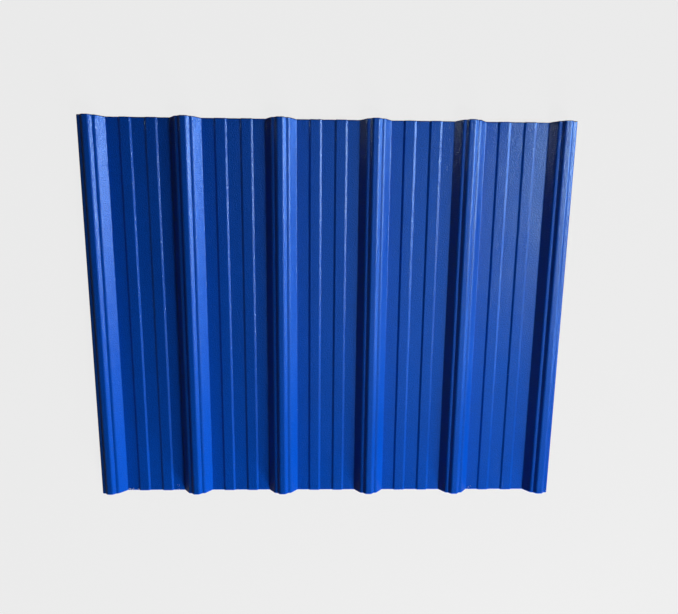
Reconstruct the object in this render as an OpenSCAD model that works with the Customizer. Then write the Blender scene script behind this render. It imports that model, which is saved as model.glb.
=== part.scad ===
// Trapezoidal PVC roofing sheet: one extruded profile, lying flat with its ribs up.
// X runs across the ribs, Y along them and Z up. The origin is under the middle of the sheet.
// The sizes of ribs and beads are measured on the upper face, between the bend lines.

/* [Sheet] */
// Length of the sheet along its left edge, the longer one
sheet_length = 884; // [200:1:6000]
// How much shorter the right edge is, because the near end is sawn slightly askew
saw_cut_skew = 9; // [0:1:40]
// Thickness of the plastic
sheet_thickness = 2.5; // [1:0.1:3.5]

/* [Ribs] */
// Number of ribs, with the rib at each side edge counted
rib_count = 6; // [2:1:9]
// Distance from one rib's centre to the next
rib_pitch = 210; // [170:1:330]
// Height of the crest above the pan
rib_height = 22; // [19:0.5:40]
// Width of the flat crest
crest_width = 13; // [8:0.5:60]
// Width that the upper web covers, from the crest to the ledge
upper_web_run = 7.5; // [4:0.5:20]
// Width of the flat ledge on the rib's flank
ledge_width = 5.3; // [4:0.1:15]
// Height of the ledge above the pan
ledge_height = 16.3; // [8:0.1:20]
// Width that the lower web covers, from the ledge to the pan
lower_web_run = 15.1; // [10:0.1:25]

/* [Beads in the pans] */
// Number of beads in each pan
bead_count = 2; // [0:1:2]
// Distance from one bead's centre to the next
bead_spacing = 57.4; // [30:0.1:100]
// Width of the bead's flat top
bead_top_width = 20.8; // [6:0.1:40]
// Width that each flank of a bead covers
bead_flank_run = 3.6; // [3:0.1:8]
// Height of a bead above the pan
bead_height = 1.8; // [0.5:0.1:4]

/* [Side edges] */
// Width of lower web that is left outside the outermost ledges, where the sheet is slit
edge_web_run = 2; // [2:0.1:9]

/* [Bends] */
// Inside radius of the bends of a rib
rib_bend_r = 1.5; // [0.5:0.1:2.5]
// Inside radius of the bends of a bead
bead_bend_r = 2; // [0.5:0.1:4]

/* [Hidden] */

// Straight steps that make up one bend
bend_steps = 4;

// Heights of the three levels of the upper face, above the surface that the pans lie on
pan_z = sheet_thickness;
bead_z = pan_z + bead_height;
ledge_z = pan_z + ledge_height;
crest_z = pan_z + rib_height;

// Distances from a rib's centre to the bend lines of its flank
crest_half = crest_width / 2;
ledge_inner = crest_half + upper_web_run;
ledge_outer = ledge_inner + ledge_width;
foot_half = ledge_outer + lower_web_run;

// Distances from a bead's centre to its bend lines
bead_top_half = bead_top_width / 2;
bead_foot_half = bead_top_half + bead_flank_run;

// The edge lies on the slope of the lower web, this far below the ledge
edge_drop = ledge_height * edge_web_run / lower_web_run;

// The sheet's right edge, as far from the middle as its left edge
edge_x = (rib_count - 1) / 2 * rib_pitch + ledge_outer + edge_web_run;

// Waste past the near end before it is sawn, and the saw's reach past the sheet all round
saw_margin = 20;

// Centres of rib i, and of bead j in the pan that follows rib i
function rib_x(i) = (i - (rib_count - 1) / 2) * rib_pitch;
function bead_x(i, j) = rib_x(i) + rib_pitch / 2 + (j - (bead_count - 1) / 2) * bead_spacing;

// A bend line of the upper face is [x, z, inside radius].
// One flank of a rib from the crest down, to the right with side 1 and to the left with side -1
function flank(i, side) = [
    [rib_x(i) + side * crest_half, crest_z, rib_bend_r],
    [rib_x(i) + side * ledge_inner, ledge_z, rib_bend_r],
    [rib_x(i) + side * ledge_outer, ledge_z, rib_bend_r]
];
function foot(i, side) = [[rib_x(i) + side * foot_half, pan_z, rib_bend_r]];
function slit_edge(i, side) = [
    [rib_x(i) + side * (ledge_outer + edge_web_run), ledge_z - edge_drop, 0]
];

function reversed(list) = [for (k = [len(list) - 1 : -1 : 0]) list[k]];

function bead(x) = [
    [x - bead_foot_half, pan_z, bead_bend_r],
    [x - bead_top_half, bead_z, bead_bend_r],
    [x + bead_top_half, bead_z, bead_bend_r],
    [x + bead_foot_half, pan_z, bead_bend_r]
];

// The pan between rib i and the next one, from foot to foot
function pan(i) = concat(
    foot(i, 1),
    [for (j = [0 : 1 : bead_count - 1]) each bead(bead_x(i, j))],
    foot(i + 1, -1)
);

last_rib = rib_count - 1;
bend_lines = concat(
    slit_edge(0, -1),
    [for (i = [0 : last_rib]) each concat(
        reversed(flank(i, -1)),
        flank(i, 1),
        i < last_rib ? pan(i) : []
    )],
    slit_edge(last_rib, 1)
);

// Place of a bend line, heading of the face that follows it, and the normal of a heading
function place(k) = [bend_lines[k].x, bend_lines[k].y];
function heading(k) = let (run = place(k + 1) - place(k)) atan2(run.y, run.x);
function normal(angle) = [-sin(angle), cos(angle)];

// The points of bend k at a depth below the upper face. Both faces share the bend's centre,
// so the thickness is the same all the way round.
function bend_points(k, depth) = let (
    before = heading(k - 1),
    turn = heading(k) - before,
    side = sign(turn),
    upper_r = bend_lines[k][2] + (side < 0 ? sheet_thickness : 0),
    start = place(k) - upper_r * tan(abs(turn) / 2) * [cos(before), sin(before)],
    centre = start + side * upper_r * normal(before),
    face_r = upper_r + side * depth
) [
    for (step = [0 : bend_steps])
        centre - side * face_r * normal(before + turn * step / bend_steps)
];

// One face of the sheet from its left edge to its right edge. The edges are cut square.
last_line = len(bend_lines) - 1;
function face(depth) = concat(
    [place(0) - depth * normal(heading(0))],
    [for (k = [1 : last_line - 1]) each bend_points(k, depth)],
    [place(last_line) - depth * normal(heading(last_line - 1))]
);

module profile() {
    polygon(concat(face(0), reversed(face(sheet_thickness))));
}

// The sheet as it leaves the extruder, square at its far end and too long at its near end
module extruded_sheet() {
    translate([0, sheet_length / 2, 0])
    rotate([90, 0, 0])
    linear_extrude(height = sheet_length + saw_margin)
    profile();
}

// What the saw takes off the near end. Its cut starts at the left edge's near corner.
module offcut() {
    skew_angle = atan(saw_cut_skew / (2 * edge_x));
    translate([-edge_x, -sheet_length / 2, -saw_margin])
    rotate([0, 0, skew_angle])
    translate([-saw_margin, -2 * saw_margin - saw_cut_skew, 0])
    cube([
        2 * (edge_x + saw_margin),
        2 * saw_margin + saw_cut_skew,
        crest_z + 2 * saw_margin
    ]);
}

module roofing_sheet() {
    color([0.04, 0.25, 0.64])
    difference() {
        extruded_sheet();
        offcut();
    }
}

roofing_sheet();
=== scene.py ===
"""Looks of a trapezoidal PVC roofing sheet that lies flat on the floor with its ribs up.

The sheet is one extruded piece. A tree of geometry nodes sweeps its section along the ribs and
frays the two sawn ends a little. X runs across the ribs, Y along them and Z up, in metres.
"""

import logging
import math
from dataclasses import dataclass, field
from enum import Enum
from typing import Any

import bpy
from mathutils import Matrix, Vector


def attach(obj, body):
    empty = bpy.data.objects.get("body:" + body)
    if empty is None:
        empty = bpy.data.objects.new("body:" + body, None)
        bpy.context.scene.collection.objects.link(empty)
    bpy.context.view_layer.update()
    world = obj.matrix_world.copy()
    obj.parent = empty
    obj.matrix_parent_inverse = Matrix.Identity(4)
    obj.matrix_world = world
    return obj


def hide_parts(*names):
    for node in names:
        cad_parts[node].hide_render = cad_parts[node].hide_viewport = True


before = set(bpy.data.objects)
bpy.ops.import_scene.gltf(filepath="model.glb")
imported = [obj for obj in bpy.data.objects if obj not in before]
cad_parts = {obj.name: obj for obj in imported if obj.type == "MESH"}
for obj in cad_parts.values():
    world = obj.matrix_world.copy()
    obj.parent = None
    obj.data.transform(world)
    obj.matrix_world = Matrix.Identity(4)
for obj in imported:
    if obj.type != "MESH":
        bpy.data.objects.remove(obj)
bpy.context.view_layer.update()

MM = 0.001
CM2_PER_M2 = 10000
SHEET_NODE = "roofing_sheet"
ROOT_BODY = "root"

log = logging.getLogger("roofing_sheet")


# ---------------------------------------------------------------------------
# Small tools
# ---------------------------------------------------------------------------

def linear_colour(hex_colour: str) -> tuple[float, float, float, float]:
    """Turns an sRGB hex colour into a linear one.

    Args:
        hex_colour: Six hex digits after a hash, such as "#1f57b8".

    Returns:
        Linear red, green and blue, and an alpha of 1.
    """
    digits = hex_colour.lstrip("#")
    channels = [int(digits[k:k + 2], 16) / 255 for k in (0, 2, 4)]
    linear = [c / 12.92 if c <= 0.04045 else ((c + 0.055) / 1.055) ** 2.4 for c in channels]
    return (linear[0], linear[1], linear[2], 1.0)


def add_node(
    tree: bpy.types.NodeTree,
    kind: str,
    settings: dict[str, Any] | None = None,
    inputs: dict[Any, Any] | None = None,
) -> bpy.types.Node:
    """Adds a node with its settings, and links or sets its inputs.

    Args:
        tree: The node tree that gets the node.
        kind: Blender's name of the node type.
        settings: Attribute names and values of the node.
        inputs: Values by socket name or number. An output socket is linked, anything else is set.

    Returns:
        The new node.
    """
    node = tree.nodes.new(kind)
    for name, value in (settings or {}).items():
        setattr(node, name, value)
    for key, value in (inputs or {}).items():
        socket = node.inputs[key]
        if isinstance(value, bpy.types.NodeSocket):
            tree.links.new(value, socket)
        else:
            socket.default_value = value
    return node


def start_material(
    name: str,
) -> tuple[bpy.types.Material, bpy.types.NodeTree, bpy.types.NodeSocket]:
    """Starts a node material.

    Args:
        name: Name of the material.

    Returns:
        The material, its tree, which is empty but for one node, and that node's Object coordinates.
    """
    material = bpy.data.materials.new(name)
    material.use_nodes = True
    tree = material.node_tree
    tree.nodes.clear()
    place = add_node(tree, "ShaderNodeTexCoord").outputs["Object"]
    return material, tree, place


def start_geometry(
    name: str, takes: dict[str, str], gives: str
) -> tuple[bpy.types.NodeTree, dict[str, bpy.types.NodeSocket]]:
    """Starts a tree of geometry nodes with named inputs.

    Args:
        name: Name of the tree.
        takes: Kinds of the inputs by their names, such as "Float" or "Material".
        gives: Name of the geometry that comes out.

    Returns:
        The tree, and a socket for each input by its name.
    """
    tree = bpy.data.node_groups.new(name, "GeometryNodeTree")
    for title, kind in takes.items():
        tree.interface.new_socket(title, in_out="INPUT", socket_type="NodeSocket" + kind)
    tree.interface.new_socket(gives, in_out="OUTPUT", socket_type="NodeSocketGeometry")
    given = tree.nodes.new("NodeGroupInput").outputs
    return tree, {title: given[title] for title in takes}


def grow(
    name: str, blank: bpy.types.Mesh, tree: bpy.types.NodeTree, values: dict[str, Any]
) -> bpy.types.Object:
    """Lets a tree of geometry nodes turn a blank into a finished, plain mesh.

    Args:
        name: Name of the finished object and its mesh.
        blank: The mesh that the tree starts from.
        tree: The tree of geometry nodes.
        values: Values of the tree's named inputs.

    Returns:
        An object at the origin, without modifiers.
    """
    start = bpy.data.objects.new(name + "_blank", blank)
    bpy.context.scene.collection.objects.link(start)
    modifier = start.modifiers.new("grow", "NODES")
    modifier.node_group = tree
    for item in tree.interface.items_tree:
        if item.name in values and item.in_out == "INPUT":
            modifier[item.identifier] = values[item.name]
    evaluated = start.evaluated_get(bpy.context.evaluated_depsgraph_get())
    mesh = bpy.data.meshes.new_from_object(evaluated)
    bpy.data.objects.remove(start)
    mesh.name = name
    finished = bpy.data.objects.new(name, mesh)
    bpy.context.scene.collection.objects.link(finished)
    return finished


# ---------------------------------------------------------------------------
# The section of the sheet
# ---------------------------------------------------------------------------

class Side(Enum):
    """The two sides of a rib or of the sheet."""

    LEFT = -1
    RIGHT = 1


@dataclass(frozen=True)
class BendLine:
    """A line along which the sheet bends, where the flats on its two sides would meet."""

    x: float
    z: float
    inside_radius: float = 0.0


@dataclass(frozen=True)
class SheetProfile:
    """The section across the ribs. All sizes are in millimetres, on the upper face."""

    thickness: float = 2.5
    rib_count: int = 6
    rib_pitch: float = 210.0
    rib_height: float = 22.0
    crest_width: float = 13.0
    upper_web_run: float = 6.4
    ledge_width: float = 6.4
    ledge_height: float = 16.3
    # The ledge falls by this much from its inner to its outer bend.
    ledge_drop: float = 0.5
    lower_web_run: float = 15.1
    bead_count: int = 2
    bead_spacing: float = 57.4
    bead_top_width: float = 20.4
    bead_flank_run: float = 4.4
    bead_height: float = 2.2
    # How much is left of the outer lower web of an edge rib, across.
    edge_web_run: float = 2.0
    # Radii on the inside of the bends.
    ledge_bend_r: float = 1.5
    shoulder_r: float = 5.0
    foot_bend_r: float = 3.0
    bead_bend_r: float = 2.0
    # How finely bends and flats are divided, and how near a bend a flat has its first points.
    steps_per_bend: int = 6
    widest_facet: float = 5.0
    bend_margin: float = 0.5

    @property
    def ledge_outer(self) -> float:
        """Distance from a rib's centre to the outer bend of its ledge."""
        return self.crest_width / 2 + self.upper_web_run + self.ledge_width

    @property
    def outer_height(self) -> float:
        """Height of the ledge's outer bend. The ledge falls outwards about its middle."""
        return self.ledge_height - self.ledge_drop / 2

    @property
    def edge_x(self) -> float:
        """Distance from the middle of the sheet to its side edges."""
        outer_rib = (self.rib_count - 1) / 2 * self.rib_pitch
        return outer_rib + self.ledge_outer + self.edge_web_run

    def rib_x(self, rib: int) -> float:
        """Centre of a rib, counted from the left edge."""
        return (rib - (self.rib_count - 1) / 2) * self.rib_pitch

    def flank(self, rib: int, side: Side) -> list[BendLine]:
        """Gives the bends of one flank of a rib, from its crest down to its ledge.

        Args:
            rib: Number of the rib, from the left edge.
            side: Side of the rib that the flank is on.

        Returns:
            The three bend lines.
        """
        x, out = self.rib_x(rib), side.value
        crest_z = self.thickness + self.rib_height
        outer_z = self.thickness + self.outer_height
        inner = self.crest_width / 2 + self.upper_web_run
        return [
            BendLine(x + out * self.crest_width / 2, crest_z, self.shoulder_r),
            BendLine(x + out * inner, outer_z + self.ledge_drop, self.ledge_bend_r),
            BendLine(x + out * self.ledge_outer, outer_z, self.shoulder_r),
        ]

    def foot(self, rib: int, side: Side) -> BendLine:
        """The bend between a rib's lower web and the pan."""
        reach = self.ledge_outer + self.lower_web_run
        return BendLine(self.rib_x(rib) + side.value * reach, self.thickness, self.foot_bend_r)

    def slit_edge(self, rib: int, side: Side) -> BendLine:
        """Gives the end of the section, on the outer lower web of an edge rib.

        Args:
            rib: Number of the edge rib.
            side: Side of the rib that the edge is on.

        Returns:
            The edge, as a line without a bend.
        """
        reach = self.ledge_outer + self.edge_web_run
        height = self.outer_height * (1 - self.edge_web_run / self.lower_web_run)
        return BendLine(self.rib_x(rib) + side.value * reach, self.thickness + height)

    def pan(self, rib: int) -> list[BendLine]:
        """Gives the bends of the pan between a rib and the next one.

        Args:
            rib: Number of the rib on the pan's left.

        Returns:
            The bend lines from foot to foot, with those of the beads between them.
        """
        lines = [self.foot(rib, Side.RIGHT)]
        middle = self.rib_x(rib) + self.rib_pitch / 2
        bead_z = self.thickness + self.bead_height
        half_top = self.bead_top_width / 2
        half_foot = half_top + self.bead_flank_run
        for bead in range(self.bead_count):
            x = middle + (bead - (self.bead_count - 1) / 2) * self.bead_spacing
            lines.append(BendLine(x - half_foot, self.thickness, self.bead_bend_r))
            lines.append(BendLine(x - half_top, bead_z, self.bead_bend_r))
            lines.append(BendLine(x + half_top, bead_z, self.bead_bend_r))
            lines.append(BendLine(x + half_foot, self.thickness, self.bead_bend_r))
        lines.append(self.foot(rib + 1, Side.LEFT))
        return lines

    def bend_lines(self) -> list[BendLine]:
        """Lines up the whole section.

        Returns:
            All bends from the left edge to the right one, with the two edges themselves.
        """
        last = self.rib_count - 1
        lines = [self.slit_edge(0, Side.LEFT)]
        for rib in range(self.rib_count):
            lines += reversed(self.flank(rib, Side.LEFT))
            lines += self.flank(rib, Side.RIGHT)
            if rib < last:
                lines += self.pan(rib)
        lines.append(self.slit_edge(last, Side.RIGHT))
        return lines

    def upper_and_lower(self) -> tuple[list[Vector], list[Vector]]:
        """Works out both faces of the section, with a lower point under each upper one.

        Bends are arcs about one centre for both faces, so the wall is equally thick all over.

        Returns:
            The points of the upper face and those of the lower face, from left to right.
        """
        lines = self.bend_lines()
        corners = [Vector((line.x, line.z)) for line in lines]
        headings = [math.atan2(b.y - a.y, b.x - a.x) for a, b in zip(corners, corners[1:])]

        def normal(angle: float) -> Vector:
            """Unit vector square to a heading, on its upper side."""
            return Vector((-math.sin(angle), math.cos(angle)))

        upper = [corners[0]]
        lower = [corners[0] - self.thickness * normal(headings[0])]
        for k in range(1, len(lines) - 1):
            turn = headings[k] - headings[k - 1]
            side = math.copysign(1.0, turn)
            radius = lines[k].inside_radius + (self.thickness if side < 0 else 0.0)
            tangent = radius * math.tan(abs(turn) / 2)
            along = Vector((math.cos(headings[k - 1]), math.sin(headings[k - 1])))
            centre = corners[k] - tangent * along + side * radius * normal(headings[k - 1])
            arc_upper, arc_lower = [], []
            for step in range(self.steps_per_bend + 1):
                out = normal(headings[k - 1] + turn * step / self.steps_per_bend)
                arc_upper.append(centre - side * radius * out)
                arc_lower.append(centre - side * (radius + side * self.thickness) * out)
            self._add_flat(upper, lower, arc_upper[0], arc_lower[0])
            upper += arc_upper
            lower += arc_lower
        end_lower = corners[-1] - self.thickness * normal(headings[-1])
        self._add_flat(upper, lower, corners[-1], end_lower)
        upper.append(corners[-1])
        lower.append(end_lower)
        return upper, lower

    def _add_flat(
        self, upper: list[Vector], lower: list[Vector], next_upper: Vector, next_lower: Vector
    ) -> None:
        """Adds the points inside a flat, close to both bends and evenly between them.

        Args:
            upper: Points of the upper face so far, which it lengthens.
            lower: Points of the lower face so far, which it lengthens.
            next_upper: Where the flat ends on the upper face.
            next_lower: Where the flat ends on the lower face.
        """
        start_upper, start_lower = upper[-1], lower[-1]
        length = (next_upper - start_upper).length
        if length < 3 * self.bend_margin:
            return
        margin = self.bend_margin / length
        count = max(1, math.ceil(length * (1 - 2 * margin) / self.widest_facet))
        for k in range(count + 1):
            share = margin + (1 - 2 * margin) * k / count
            upper.append(start_upper.lerp(next_upper, share))
            lower.append(start_lower.lerp(next_lower, share))


# ---------------------------------------------------------------------------
# Finishes
# ---------------------------------------------------------------------------

@dataclass(frozen=True)
class EmbossedSkin:
    """The weather face: co-extruded PVC, embossed by a roller while it is warm.

    The roller leaves a fine, leather-like grain, drawn out a little along the sheet, so highlights
    on the bends break into specks and the pans glitter softly instead of showing a reflection.
    The clear top of the skin carries that gloss. Light that enters the plastic spreads under it,
    so the relief hardly shades the blue; painted shade darkens the blue a little in the pits of the
    grain. Some pale dust from the saw lies on it.
    """

    colour: str = "#045ddf"
    # Painted shade: the deeper blue is drawn in the pits of the grain, and at the dark end of the
    # random clouds.
    pit_shade_and_cloud_colour: str = "#0349b6"
    gloss_roughness: float = 0.2
    under_roughness: float = 0.5
    ior: float = 1.53
    # The real grain is about a millimetre wide. It is drawn coarser here, so that it shows.
    grain_mm: float = 2.0
    grain_stretch: float = 1.2
    grain_depth_mm: float = 0.6
    grain_under_mm: float = 0.6
    # How much of the change in the blue is painted shade in the pits of the grain. The rest is the
    # random tone of the clouds.
    pit_shade_share: float = 0.7
    cloud_mm: float = 140.0
    cloud_detail: float = 4.0
    # Specks of dust are half a millimetre wide and are drawn twice as wide.
    dust_spacing_mm: float = 24.0
    dust_mm: float = 1.0
    dust_share: float = 0.2
    dust_colour: str = "#7f9fd8"

    def material(self) -> bpy.types.Material:
        """Builds the node material of the weather face.

        Returns:
            The finished material.
        """
        material, tree, place = start_material("embossed_blue_pvc")

        # The embossing. One unit of the stretched place is one grain.
        per_grain = 1 / (self.grain_mm * MM)
        stretched = add_node(
            tree, "ShaderNodeMapping", {"vector_type": "POINT"},
            {"Vector": place, "Scale": (per_grain, per_grain / self.grain_stretch, per_grain)},
        )
        grain = add_node(
            tree, "ShaderNodeTexNoise", {"noise_dimensions": "3D"},
            {"Vector": stretched.outputs["Vector"], "Scale": 1.0, "Detail": 0.0},
        )
        gloss_relief, under_relief = (
            add_node(
                tree, "ShaderNodeBump", {},
                {"Strength": 1.0, "Distance": depth * MM, "Height": grain.outputs["Fac"]},
            )
            for depth in (self.grain_depth_mm, self.grain_under_mm)
        )

        # Painted shade: the blue is darker in the pits of the grain. Apart from that, it clouds at
        # random over the width of a hand.
        cloud = add_node(
            tree, "ShaderNodeTexNoise", {"noise_dimensions": "3D"},
            {"Vector": place, "Scale": 1 / (self.cloud_mm * MM), "Detail": self.cloud_detail},
        )
        pit_shade_and_cloud = add_node(
            tree, "ShaderNodeMix", {"data_type": "FLOAT"},
            {"Factor": self.pit_shade_share, "A": cloud.outputs["Fac"], "B": grain.outputs["Fac"]},
        )
        # The pits of the grain get the deeper blue as painted shade; the clouds add random tone.
        tint = add_node(
            tree, "ShaderNodeMix", {"data_type": "RGBA"},
            {
                "Factor": pit_shade_and_cloud.outputs["Result"],
                "A": linear_colour(self.pit_shade_and_cloud_colour),
                "B": linear_colour(self.colour),
            },
        )

        # Dust: a round speck in the middle of a few of the cells.
        cells = add_node(
            tree, "ShaderNodeTexVoronoi", {"feature": "F1", "voronoi_dimensions": "3D"},
            {"Vector": place, "Scale": 1 / (self.dust_spacing_mm * MM)},
        )
        speck = add_node(
            tree, "ShaderNodeMath", {"operation": "LESS_THAN"},
            {0: cells.outputs["Distance"], 1: self.dust_mm / 2 / self.dust_spacing_mm},
        )
        lot = add_node(tree, "ShaderNodeSeparateColor", {}, {"Color": cells.outputs["Color"]})
        drawn = add_node(
            tree, "ShaderNodeMath", {"operation": "LESS_THAN"},
            {0: lot.outputs["Red"], 1: self.dust_share},
        )
        dusty = add_node(
            tree, "ShaderNodeMath", {"operation": "MULTIPLY"},
            {0: speck.outputs[0], 1: drawn.outputs[0]},
        )
        dusted = add_node(
            tree, "ShaderNodeMix", {"data_type": "RGBA"},
            {
                "Factor": dusty.outputs[0],
                "A": tint.outputs["Result"],
                "B": linear_colour(self.dust_colour),
            },
        )
        shader = add_node(
            tree, "ShaderNodeBsdfPrincipled", {},
            {
                "Base Color": dusted.outputs["Result"],
                "Roughness": self.under_roughness,
                "IOR": self.ior,
                "Specular IOR Level": 0.0,
                "Normal": under_relief.outputs["Normal"],
                "Coat Weight": 1.0,
                "Coat Roughness": self.gloss_roughness,
                "Coat IOR": self.ior,
                "Coat Normal": gloss_relief.outputs["Normal"],
            },
        )
        add_node(tree, "ShaderNodeOutputMaterial", {}, {"Surface": shader.outputs["BSDF"]})
        return material


@dataclass(frozen=True)
class SmoothBack:
    """The underside: the same plastic, smooth from the cooling die and a little duller."""

    colour: str = "#0a44a8"
    roughness: float = 0.42
    ior: float = 1.53
    # The die draws faint streaks, 2 to 3 mm wide and about as long as a forearm.
    streak_mm: float = 2.5
    streak_length_mm: float = 400.0
    streak_depth_mm: float = 0.02

    def material(self) -> bpy.types.Material:
        """Builds the node material of the underside.

        Returns:
            The finished material.
        """
        material, tree, place = start_material("smooth_blue_pvc")
        across, along = 1 / (self.streak_mm * MM), 1 / (self.streak_length_mm * MM)
        streaks = add_node(
            tree, "ShaderNodeMapping", {"vector_type": "POINT"},
            {"Vector": place, "Scale": (across, along, across)},
        )
        drawn = add_node(
            tree, "ShaderNodeTexNoise", {"noise_dimensions": "3D"},
            {"Vector": streaks.outputs["Vector"], "Scale": 1.0, "Detail": 2.0},
        )
        bump = add_node(
            tree, "ShaderNodeBump", {},
            {
                "Strength": 1.0,
                "Distance": self.streak_depth_mm * MM,
                "Height": drawn.outputs["Fac"],
            },
        )
        shader = add_node(
            tree, "ShaderNodeBsdfPrincipled", {},
            {
                "Base Color": linear_colour(self.colour),
                "Roughness": self.roughness,
                "IOR": self.ior,
                "Normal": bump.outputs["Normal"],
            },
        )
        add_node(tree, "ShaderNodeOutputMaterial", {}, {"Surface": shader.outputs["BSDF"]})
        return material


@dataclass(frozen=True)
class SawnCut:
    """The cut faces: PVC sawn across, so matt, with saw marks and a paler, scuffed tone."""

    colour: str = "#2a5fb4"
    roughness: float = 0.75
    ior: float = 1.53
    # The teeth leave marks a little under a millimetre apart.
    mark_mm: float = 0.8
    mark_depth_mm: float = 0.15

    def material(self) -> bpy.types.Material:
        """Builds the node material of the cut faces.

        Returns:
            The finished material.
        """
        material, tree, place = start_material("sawn_blue_pvc")
        marks = add_node(
            tree, "ShaderNodeTexNoise", {"noise_dimensions": "3D"},
            {"Vector": place, "Scale": 1 / (self.mark_mm * MM), "Detail": 2.0},
        )
        bump = add_node(
            tree, "ShaderNodeBump", {},
            {
                "Strength": 1.0,
                "Distance": self.mark_depth_mm * MM,
                "Height": marks.outputs["Fac"],
            },
        )
        shader = add_node(
            tree, "ShaderNodeBsdfPrincipled", {},
            {
                "Base Color": linear_colour(self.colour),
                "Roughness": self.roughness,
                "IOR": self.ior,
                "Normal": bump.outputs["Normal"],
            },
        )
        add_node(tree, "ShaderNodeOutputMaterial", {}, {"Surface": shader.outputs["BSDF"]})
        return material


@dataclass(frozen=True)
class TornChip:
    """Chips and dust from the saw: torn PVC, which turns pale and matt where it is stressed."""

    colour: str = "#f4f6fa"
    worn_colour: str = "#a9bde4"
    roughness: float = 0.7
    ior: float = 1.53
    # Pale and bluish spots change about once over a small chip.
    spot_mm: float = 1.5

    def material(self) -> bpy.types.Material:
        """Builds the node material of the chips.

        Returns:
            The finished material.
        """
        material, tree, place = start_material("torn_pale_pvc")
        stress = add_node(
            tree, "ShaderNodeTexNoise", {"noise_dimensions": "3D"},
            {"Vector": place, "Scale": 1 / (self.spot_mm * MM), "Detail": 2.0},
        )
        tint = add_node(
            tree, "ShaderNodeMix", {"data_type": "RGBA"},
            {
                "Factor": stress.outputs["Fac"],
                "A": linear_colour(self.worn_colour),
                "B": linear_colour(self.colour),
            },
        )
        shader = add_node(
            tree, "ShaderNodeBsdfPrincipled", {},
            {"Base Color": tint.outputs["Result"], "Roughness": self.roughness, "IOR": self.ior},
        )
        add_node(tree, "ShaderNodeOutputMaterial", {}, {"Surface": shader.outputs["BSDF"]})
        return material


# ---------------------------------------------------------------------------
# The sheet
# ---------------------------------------------------------------------------

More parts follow.
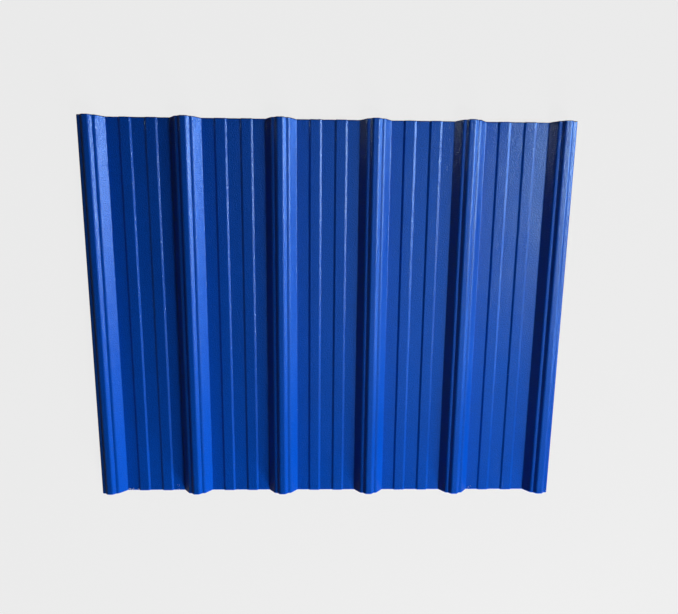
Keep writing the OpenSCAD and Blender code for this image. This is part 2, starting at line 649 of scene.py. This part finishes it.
@dataclass
class RoofingSheet:
    """The sheet: its section, swept along the ribs and sawn at both ends. Sizes in millimetres."""

    profile: SheetProfile = field(default_factory=SheetProfile)
    skin: EmbossedSkin = field(default_factory=EmbossedSkin)
    back: SmoothBack = field(default_factory=SmoothBack)
    cut: SawnCut = field(default_factory=SawnCut)
    length: float = 884.0
    saw_cut_skew: float = 9.0
    stations: int = 34
    # The saw's ragged edge: how deep it bites at most, how wide a bite is, how far in it fades.
    fray_depth: float = 1.1
    fray_width: float = 9.0
    fray_reach: float = 12.0
    # How often the raggedness changes over the length, so that the two ends differ.
    fray_changes: float = 40.0
    fray_detail: float = 3.0
    fray_sharpness: float = 3.0
    # The raggedness is read from one long line, and each seed starts a stride further on.
    fray_seed: int = 5
    seed_stride: float = 7.3
    weld_mm: float = 0.01
    # A face whose normal has a height of less than this belongs to the underside.
    back_limit: float = -0.01

    def section_mesh(self) -> bpy.types.Mesh:
        """Draws the section flat in the XY plane.

        Returns:
            A strip of quads between the section's two faces.
        """
        upper, lower = self.profile.upper_and_lower()
        count = len(upper)
        points = [(p.x * MM, p.y * MM, 0.0) for p in upper + lower]
        quads = [(count + k, count + k + 1, k + 1, k) for k in range(count - 1)]
        mesh = bpy.data.meshes.new("sheet_section")
        mesh.from_pydata(points, [], quads)
        return mesh

    def extruder(self) -> bpy.types.NodeTree:
        """Builds the tree of geometry nodes that turns the section into the sheet.

        Returns:
            The tree. Its named inputs are the lengths in metres, the number of stations along
            the ribs, the seed of the frayed ends and the three finishes.
        """
        takes = {"Section": "Geometry"}
        takes |= dict.fromkeys(("Length", "Saw skew", "Half width"), "Float")
        takes |= dict.fromkeys(("Fray depth", "Fray width", "Fray reach"), "Float")
        takes |= dict.fromkeys(("Stations", "Seed"), "Int")
        takes |= dict.fromkeys(("Skin", "Back", "Cut"), "Material")
        tree, given = start_geometry("sheet_extruder", takes, "Sheet")

        # Sums over the points, in the order in which they are worked out. Each is a name, an
        # operation and its terms, which are numbers, inputs of the tree or sums before it.
        place = add_node(tree, "GeometryNodeInputPosition").outputs["Position"]
        axes = add_node(tree, "ShaderNodeSeparateXYZ", {}, {"Vector": place}).outputs
        wander = add_node(
            tree, "ShaderNodeTexNoise", {"noise_dimensions": "2D"},
            {"Scale": 1.0, "Detail": self.fray_detail},
        )
        known = given | {
            "Share": add_node(tree, "GeometryNodeSplineParameter").outputs["Factor"],
            "X": axes["X"],
            "Z": axes["Z"],
            "Wander": wander.outputs["Fac"],
        }
        for name, operation, *terms in (
            # The rail has its stations closer together near both ends, where the edge is frayed.
            ("half turn", "MULTIPLY", "Share", math.pi),
            ("cosine", "COSINE", "half turn"),
            ("twice eased", "SUBTRACT", 1.0, "cosine"),
            ("eased", "MULTIPLY", "twice eased", 0.5),
            ("station", "MULTIPLY", "eased", "Length"),
            # The saw ran askew: every station slides towards the far end, more so to the right.
            ("from left", "ADD", "X", "Half width"),
            ("width", "MULTIPLY", "Half width", 2.0),
            ("across", "DIVIDE", "from left", "width"),
            ("from far", "DIVIDE", "Z", "Length"),
            ("full slide", "MULTIPLY", "across", "Saw skew"),
            ("slide", "MULTIPLY", "full slide", "from far"),
            # Both ends are frayed by the saw: the edge wanders in and never stands out.
            ("seed", "MULTIPLY", "Seed", self.seed_stride),
            ("bites across", "DIVIDE", "X", "Fray width"),
            ("wander x", "ADD", "bites across", "seed"),
            ("wander y", "MULTIPLY", "from far", self.fray_changes),
            ("sharpened", "POWER", "Wander", self.fray_sharpness),
            ("bite", "MULTIPLY", "sharpened", "Fray depth"),
            ("to near", "SUBTRACT", "Length", "Z"),
            ("near reach", "DIVIDE", "to near", "Fray reach"),
            ("near pull", "SUBTRACT", 1.0, "near reach"),
            ("near hold", "MAXIMUM", "near pull", 0.0),
            ("near bite", "MULTIPLY", "bite", "near hold"),
            ("far reach", "DIVIDE", "Z", "Fray reach"),
            ("far pull", "SUBTRACT", 1.0, "far reach"),
            ("far hold", "MAXIMUM", "far pull", 0.0),
            ("far bite", "MULTIPLY", "bite", "far hold"),
            ("fray", "SUBTRACT", "far bite", "near bite"),
            ("shift", "SUBTRACT", "fray", "slide"),
            ("half length", "MULTIPLY", "Length", 0.5),
        ):
            sockets = {k: known.get(term, term) for k, term in enumerate(terms)}
            known[name] = add_node(
                tree, "ShaderNodeMath", {"operation": operation}, sockets
            ).outputs[0]
        spot, wander_at, lift, offset, laid_at = (
            add_node(
                tree, "ShaderNodeCombineXYZ", {}, {axis: known[term] for axis, term in axes_of.items()}
            ).outputs["Vector"]
            for axes_of in (
                {"Z": "station"},
                {"X": "wander x", "Y": "wander y"},
                {"Z": "Length"},
                {"Z": "shift"},
                {"Y": "half length"},
            )
        )
        tree.links.new(wander_at, wander.inputs["Vector"])

        # The wall is the outline of the section, swept along the rail.
        rail = add_node(
            tree, "GeometryNodeCurvePrimitiveLine", {},
            {"Start": (0, 0, 0), "End": (0, 0, 1)},
        )
        stations = add_node(
            tree, "GeometryNodeResampleCurve", {},
            {"Curve": rail.outputs["Curve"], "Count": given["Stations"]},
        )
        spaced = add_node(
            tree, "GeometryNodeSetPosition", {},
            {"Geometry": stations.outputs["Curve"], "Position": spot},
        )
        neighbours = add_node(tree, "GeometryNodeInputMeshEdgeNeighbors").outputs["Face Count"]
        rim = add_node(
            tree, "FunctionNodeCompare", {"data_type": "INT", "operation": "EQUAL"},
            {2: neighbours, 3: 1},
        )
        outline = add_node(
            tree, "GeometryNodeMeshToCurve", {},
            {"Mesh": given["Section"], "Selection": rim.outputs["Result"]},
        )
        wall = add_node(
            tree, "GeometryNodeCurveToMesh", {},
            {"Curve": spaced.outputs["Geometry"], "Profile Curve": outline.outputs["Curve"]},
        )

        # The section itself closes both ends. Its faces are marked as cut ones.
        marked = add_node(
            tree, "GeometryNodeStoreNamedAttribute", {"data_type": "BOOLEAN", "domain": "FACE"},
            {"Geometry": given["Section"], "Name": "sawn", "Value": True},
        )
        near_end = add_node(
            tree, "GeometryNodeTransform", {},
            {"Geometry": marked.outputs["Geometry"], "Translation": lift},
        )
        far_end = add_node(
            tree, "GeometryNodeFlipFaces", {}, {"Mesh": marked.outputs["Geometry"]}
        )
        parts = add_node(tree, "GeometryNodeJoinGeometry")
        for part in (wall.outputs["Mesh"], near_end.outputs["Geometry"], far_end.outputs["Mesh"]):
            tree.links.new(part, parts.inputs["Geometry"])
        closed = add_node(
            tree, "GeometryNodeMergeByDistance", {},
            {"Geometry": parts.outputs["Geometry"], "Distance": self.weld_mm * MM},
        )
        sawn = add_node(
            tree, "GeometryNodeSetPosition", {},
            {"Geometry": closed.outputs["Geometry"], "Offset": offset},
        )

        # The rail becomes the Y axis, with the near end at the front and the ribs up.
        laid = add_node(
            tree, "GeometryNodeTransform", {},
            {
                "Geometry": sawn.outputs["Geometry"],
                "Translation": laid_at,
                "Rotation": (math.pi / 2, 0.0, 0.0),
            },
        )
        real = add_node(
            tree, "GeometryNodeRealizeInstances", {}, {"Geometry": laid.outputs["Geometry"]}
        )
        smooth = add_node(
            tree, "GeometryNodeSetShadeSmooth", {}, {"Geometry": real.outputs["Geometry"]}
        )
        facing = add_node(tree, "GeometryNodeInputNormal").outputs["Normal"]
        facing_z = add_node(tree, "ShaderNodeSeparateXYZ", {}, {"Vector": facing}).outputs["Z"]
        below = add_node(
            tree, "FunctionNodeCompare", {"data_type": "FLOAT", "operation": "LESS_THAN"},
            {0: facing_z, 1: self.back_limit},
        )
        is_cut = add_node(
            tree, "GeometryNodeInputNamedAttribute", {"data_type": "BOOLEAN"}, {"Name": "sawn"}
        )
        dressed = smooth.outputs["Geometry"]
        for selection, finish in (
            (True, given["Skin"]),
            (below.outputs["Result"], given["Back"]),
            (is_cut.outputs["Attribute"], given["Cut"]),
        ):
            dressed = add_node(
                tree, "GeometryNodeSetMaterial", {},
                {"Geometry": dressed, "Selection": selection, "Material": finish},
            ).outputs["Geometry"]
        add_node(tree, "NodeGroupOutput", {}, {"Sheet": dressed})
        return tree

    def build(self) -> bpy.types.Object:
        """Makes the sheet, fits its finishes and puts it in the CAD node's place.

        Returns:
            The finished sheet.
        """
        values = {
            "Length": self.length * MM,
            "Saw skew": self.saw_cut_skew * MM,
            "Half width": self.profile.edge_x * MM,
            "Fray depth": self.fray_depth * MM,
            "Fray width": self.fray_width * MM,
            "Fray reach": self.fray_reach * MM,
            "Stations": self.stations,
            "Seed": self.fray_seed,
            "Skin": self.skin.material(),
            "Back": self.back.material(),
            "Cut": self.cut.material(),
        }
        sheet = grow("pvc_sheet", self.section_mesh(), self.extruder(), values)
        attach(sheet, ROOT_BODY)
        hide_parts(SHEET_NODE)
        log.info("%s: %d faces", sheet.name, len(sheet.data.polygons))
        return sheet


# ---------------------------------------------------------------------------
# What the saw left behind
# ---------------------------------------------------------------------------

@dataclass(frozen=True)
class ChipPatch:
    """A patch near the front end on which chips lie. Lengths in millimetres.

    It runs along X from `start` to `end`, and from the sawn edge `depth` inwards.
    """

    start: float
    end: float
    depth: float
    per_cm2: float
    height: float


@dataclass
class SawChips:
    """Pale chips and burrs that stick to the sheet along the sawn front end.

    A chip is a wedge with four sides. Its own sizes are shares of its length, which is drawn
    between the smallest and the largest, in millimetres.
    """

    sheet: RoofingSheet
    finish: TornChip = field(default_factory=TornChip)
    smallest: float = 1.4
    largest: float = 3.8
    sides: int = 4
    tip_radius: float = 0.15
    foot_radius: float = 0.5
    wedge_depth: float = 0.6
    flattening: tuple[float, float, float] = (1.0, 0.6, 0.5)
    seed: int = 11

    def patches(self) -> list[ChipPatch]:
        """Says where the chips lie, from the bends of the sheet.

        Returns:
            The patches, from left to right.
        """
        profile = self.sheet.profile
        pan = profile.thickness
        ledge = pan + profile.ledge_height
        first_foot = profile.foot(0, Side.RIGHT).x
        second_foot = profile.foot(1, Side.LEFT).x
        fifth_foot = profile.foot(4, Side.RIGHT).x
        last_ledge = profile.rib_x(profile.rib_count - 1) + profile.ledge_outer
        # Start, end, depth, chips per square centimetre and height of each patch.
        return [
            ChipPatch(first_foot + 1, first_foot + 14, 5, 26, pan),
            ChipPatch(first_foot + 24, first_foot + 30, 4, 26, pan),
            ChipPatch(second_foot - 22, second_foot - 12, 14, 4, pan),
            ChipPatch(fifth_foot + 1, fifth_foot + 14, 9, 8, pan),
            ChipPatch(last_ledge - 4, last_ledge, 10, 12, ledge),
        ]

    def patch_mesh(self) -> bpy.types.Mesh:
        """Draws the patches.

        Returns:
            A face for each patch, which carries its number of chips per square metre.
        """
        corners, faces, counts = [], [], []
        edge_x = self.sheet.profile.edge_x
        for patch in self.patches():
            first = len(corners)
            across = (patch.start + edge_x) / (2 * edge_x)
            front = -self.sheet.length / 2 + self.sheet.saw_cut_skew * across
            back = front + patch.depth
            corners += [
                (x * MM, y * MM, patch.height * MM)
                for x, y in (
                    (patch.start, front), (patch.end, front), (patch.end, back), (patch.start, back)
                )
            ]
            faces.append((first, first + 1, first + 2, first + 3))
            counts.append(patch.per_cm2 * CM2_PER_M2)
        mesh = bpy.data.meshes.new("chip_patches")
        mesh.from_pydata(corners, [], faces)
        density = mesh.attributes.new("chips_per_m2", "FLOAT", "FACE")
        density.data.foreach_set("value", counts)
        return mesh

    def scatterer(self) -> bpy.types.NodeTree:
        """Builds the tree of geometry nodes that throws small, turned wedges on the patches.

        Returns:
            The tree. Its named inputs are the chips' sizes in metres, the seed and the finish.
        """
        takes = {"Patches": "Geometry", "Smallest": "Float", "Largest": "Float"}
        takes |= {"Seed": "Int", "Finish": "Material"}
        tree, given = start_geometry("chip_scatterer", takes, "Chips")
        density = add_node(
            tree, "GeometryNodeInputNamedAttribute", {"data_type": "FLOAT"}, {"Name": "chips_per_m2"}
        )
        spots = add_node(
            tree, "GeometryNodeDistributePointsOnFaces", {"distribute_method": "RANDOM"},
            {
                "Mesh": given["Patches"],
                "Density": density.outputs["Attribute"],
                "Seed": given["Seed"],
            },
        )
        wedge = add_node(
            tree, "GeometryNodeMeshCone", {"fill_type": "NGON"},
            {
                "Vertices": self.sides,
                "Radius Top": self.tip_radius,
                "Radius Bottom": self.foot_radius,
                "Depth": self.wedge_depth,
            },
        )
        turn = add_node(
            tree, "FunctionNodeRandomValue", {"data_type": "FLOAT_VECTOR"},
            {0: (0, 0, 0), 1: (math.tau, math.tau, math.tau), "Seed": given["Seed"]},
        )
        size = add_node(
            tree, "FunctionNodeRandomValue", {"data_type": "FLOAT"},
            {2: given["Smallest"], 3: given["Largest"], "Seed": given["Seed"]},
        )
        scale = add_node(
            tree, "ShaderNodeVectorMath", {"operation": "SCALE"},
            {0: self.flattening, "Scale": size.outputs[1]},
        )
        chips = add_node(
            tree, "GeometryNodeInstanceOnPoints", {},
            {
                "Points": spots.outputs["Points"],
                "Instance": wedge.outputs["Mesh"],
                "Rotation": turn.outputs[0],
                "Scale": scale.outputs["Vector"],
            },
        )
        real = add_node(
            tree, "GeometryNodeRealizeInstances", {}, {"Geometry": chips.outputs["Instances"]}
        )
        dressed = add_node(
            tree, "GeometryNodeSetMaterial", {},
            {"Geometry": real.outputs["Geometry"], "Material": given["Finish"]},
        )
        add_node(tree, "NodeGroupOutput", {}, {"Chips": dressed.outputs["Geometry"]})
        return tree

    def build(self) -> bpy.types.Object:
        """Scatters the chips.

        Returns:
            The finished chips, as one object.
        """
        values = {
            "Smallest": self.smallest * MM,
            "Largest": self.largest * MM,
            "Seed": self.seed,
            "Finish": self.finish.material(),
        }
        chips = grow("saw_chips", self.patch_mesh(), self.scatterer(), values)
        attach(chips, ROOT_BODY)
        log.info("%s: %d faces", chips.name, len(chips.data.polygons))
        return chips


# ---------------------------------------------------------------------------
# Studio
# ---------------------------------------------------------------------------

class LampUse(Enum):
    """What a lamp is there for: to light the colour of the sheet, or to shine in its gloss."""

    LIGHT = "light"
    SHINE = "shine"


@dataclass(frozen=True)
class Softbox:
    """A soft studio lamp that points at the middle of the sheet.

    Its place is given by where it stands around the sheet, in degrees from the X axis, how high
    it stands, in degrees over the floor, and its distance. Lengths in metres, power in watts.
    """

    name: str
    around: float
    height: float
    distance: float
    size: tuple[float, float]
    power: float
    use: LampUse
    colour: str = "#ffffff"

    def build(self) -> bpy.types.Object:
        """Makes the lamp.

        Returns:
            The lamp, in its place.
        """
        lamp = bpy.data.lights.new(self.name, "AREA")
        lamp.shape = "RECTANGLE"
        lamp.size, lamp.size_y = self.size
        lamp.energy = self.power
        lamp.color = linear_colour(self.colour)[:3]
        holder = bpy.data.objects.new(self.name, lamp)
        around, height = math.radians(self.around), math.radians(self.height)
        level = math.cos(height)
        away = Vector((level * math.cos(around), level * math.sin(around), math.sin(height)))
        holder.location = away * self.distance
        holder.rotation_euler = (-away).to_track_quat("-Z", "Y").to_euler()
        holder.visible_glossy = self.use is LampUse.SHINE
        holder.visible_diffuse = self.use is LampUse.LIGHT
        bpy.context.scene.collection.objects.link(holder)
        return holder


@dataclass(frozen=True)
class Studio:
    """The pale floor and surroundings, the lamps and the camera."""

    pale: str = "#ececec"
    # Shares of world and floor that the gloss shows. Brighter ones would turn dark flanks milky.
    world_in_gloss: float = 0.02
    floor_in_gloss: float = 0.05
    # The floor shows this share of its light and shadow as far as the reach, and none past the
    # end. The level makes up for what the shadow takes.
    shadow_share: float = 0.06
    shadow_reach: float = 0.9
    shadow_end: float = 1.8
    unshaded_level: float = 1.03
    floor_tone: str = "#898989"
    floor_size: float = 40.0
    floor_drop_mm: float = 0.2
    camera_place_mm: tuple[float, float, float] = (15.9, 184.1, 1064.2)
    camera_turn_deg: tuple[float, float, float] = (-8.615, -0.557, 0.630)
    lens_mm: float = 24.3
    sensor_mm: float = 36.0
    lamps: tuple[Softbox, ...] = (
        # Two lamps in front on the right light the colour and leave the left flanks dark.
        Softbox("side_light", -50.0, 31.3, 4.48, (0.66, 0.66), 94.0, LampUse.LIGHT),
        Softbox("low_light", -65.0, 8.7, 3.0, (0.8, 0.8), 114.0, LampUse.LIGHT),
        # Windows on the right draw the pale lines along the bends and lie on the last pans.
        Softbox("window", 9.0, 44.0, 4.73, (1.7, 0.5), 60.0, LampUse.SHINE, "#d7f9ff"),
        Softbox("side_window", 27.0, 31.3, 3.0, (0.92, 0.92), 32.0, LampUse.SHINE, "#d7f9ff"),
        # Low sky on the right fills the right flanks of the ribs with blue.
        Softbox("low_sky", 20.0, 13.0, 3.2, (1.6, 1.4), 92.0, LampUse.SHINE, "#73b1ff"),
        Softbox("low_gap", -9.5, 13.2, 3.15, (0.6, 1.4), 32.0, LampUse.SHINE, "#73b1ff"),
        # A wall on the left shows faintly in the left flanks.
        Softbox("left_wall", 190.0, 20.0, 3.0, (2.8, 1.3), 2.4, LampUse.SHINE, "#b5ffaa"),
        # High sky lies on pans and crests, and a wall at the far left on the left shoulders.
        Softbox("high_sky", 7.8, 60.0, 3.0, (3.74, 3.74), 96.0, LampUse.SHINE, "#73b1ff"),
        Softbox("far_wall", 143.0, 12.0, 3.0, (0.6, 0.6), 17.0, LampUse.SHINE, "#cee9ff"),
    )

    def shown_share(self, tree: bpy.types.NodeTree, in_gloss: float) -> bpy.types.NodeSocket:
        """Tells how much of the pale background a ray is shown.

        Args:
            tree: The node tree to add to.
            in_gloss: Share for a glossy ray.

        Returns:
            A socket that is 1 for the camera and through glass, and 0 for light on the object.
        """
        rays = add_node(tree, "ShaderNodeLightPath")
        seen = add_node(
            tree, "ShaderNodeMath", {"operation": "MAXIMUM"},
            {0: rays.outputs["Is Camera Ray"], 1: rays.outputs["Is Transmission Ray"]},
        )
        mirrored = add_node(
            tree, "ShaderNodeMath", {"operation": "MULTIPLY"},
            {0: rays.outputs["Is Glossy Ray"], 1: in_gloss},
        )
        either = add_node(
            tree, "ShaderNodeMath", {"operation": "MAXIMUM"},
            {0: seen.outputs[0], 1: mirrored.outputs[0]},
        )
        return either.outputs[0]

    def surroundings(self) -> None:
        """Makes the world, which is pale to the camera and doesn't light the object."""
        world = bpy.data.worlds.new("studio")
        bpy.context.scene.world = world
        world.use_nodes = True
        tree = world.node_tree
        tree.nodes.clear()
        shown = self.shown_share(tree, self.world_in_gloss)
        glow = add_node(
            tree, "ShaderNodeBackground", {},
            {"Color": linear_colour(self.pale), "Strength": shown},
        )
        add_node(tree, "ShaderNodeOutputWorld", {}, {"Surface": glow.outputs["Background"]})

    def floor(self) -> bpy.types.Object:
        """Makes the floor, which looks evenly pale and keeps some of the sheet's shadow.

        Returns:
            The floor.
        """
        half, height = self.floor_size / 2, -self.floor_drop_mm * MM
        corners = [(x * half, y * half, height) for x, y in ((-1, -1), (1, -1), (1, 1), (-1, 1))]
        mesh = bpy.data.meshes.new("floor")
        mesh.from_pydata(corners, [], [(0, 1, 2, 3)])
        material, tree, place = start_material("pale_floor")
        shown = self.shown_share(tree, self.floor_in_gloss)
        tone = add_node(
            tree, "ShaderNodeMix", {"data_type": "RGBA"},
            {
                "Factor": shown,
                "A": linear_colour(self.floor_tone),
                "B": linear_colour(self.pale),
            },
        )
        lit = add_node(tree, "ShaderNodeBsdfDiffuse", {}, {"Color": tone.outputs["Result"]})

        # Light and shadow show near the sheet only, so that no pool of light lies further off.
        away = add_node(tree, "ShaderNodeVectorMath", {"operation": "LENGTH"}, {0: place})
        near = add_node(
            tree, "ShaderNodeMapRange", {"interpolation_type": "SMOOTHSTEP"},
            {
                "Value": away.outputs["Value"],
                "From Min": self.shadow_reach,
                "From Max": self.shadow_end,
                "To Min": 1.0,
                "To Max": 0.0,
            },
        )
        level = add_node(
            tree, "ShaderNodeMath", {"operation": "MULTIPLY_ADD"},
            {0: near.outputs["Result"], 1: self.unshaded_level - 1.0, 2: 1.0},
        )
        even = add_node(
            tree, "ShaderNodeEmission", {},
            {"Color": linear_colour(self.pale), "Strength": level.outputs[0]},
        )
        unshaded = add_node(
            tree, "ShaderNodeMath", {"operation": "MULTIPLY_ADD"},
            {0: near.outputs["Result"], 1: -self.shadow_share, 2: 1.0},
        )
        share = add_node(
            tree, "ShaderNodeMath", {"operation": "MULTIPLY"}, {0: shown, 1: unshaded.outputs[0]}
        )
        both = add_node(
            tree, "ShaderNodeMixShader", {},
            {"Fac": share.outputs[0], 1: lit.outputs["BSDF"], 2: even.outputs["Emission"]},
        )
        add_node(tree, "ShaderNodeOutputMaterial", {}, {"Surface": both.outputs["Shader"]})
        mesh.materials.append(material)
        floor = bpy.data.objects.new("floor", mesh)
        bpy.context.scene.collection.objects.link(floor)
        return floor

    def camera(self) -> bpy.types.Object:
        """Makes the camera, which looks down on the sheet.

        Returns:
            The camera, in its place.
        """
        camera = bpy.data.cameras.new("camera")
        camera.sensor_fit = "HORIZONTAL"
        camera.sensor_width = self.sensor_mm
        camera.lens = self.lens_mm
        holder = bpy.data.objects.new("camera", camera)
        holder.location = Vector(self.camera_place_mm) * MM
        holder.rotation_euler = [math.radians(angle) for angle in self.camera_turn_deg]
        bpy.context.scene.collection.objects.link(holder)
        bpy.context.scene.camera = holder
        return holder

    def build(self) -> None:
        """Sets the studio up around the sheet."""
        bpy.context.scene.view_settings.view_transform = "Standard"
        self.surroundings()
        self.floor()
        self.camera()
        for lamp in self.lamps:
            lamp.build()
        log.info("studio: %d lamps", len(self.lamps))


def main() -> None:
    """Builds the sheet and its studio."""
    logging.basicConfig(level=logging.INFO, format="%(name)s: %(message)s")
    Studio().build()
    sheet = RoofingSheet()
    sheet.build()
    SawChips(sheet).build()


if __name__ == "__main__":
    main()
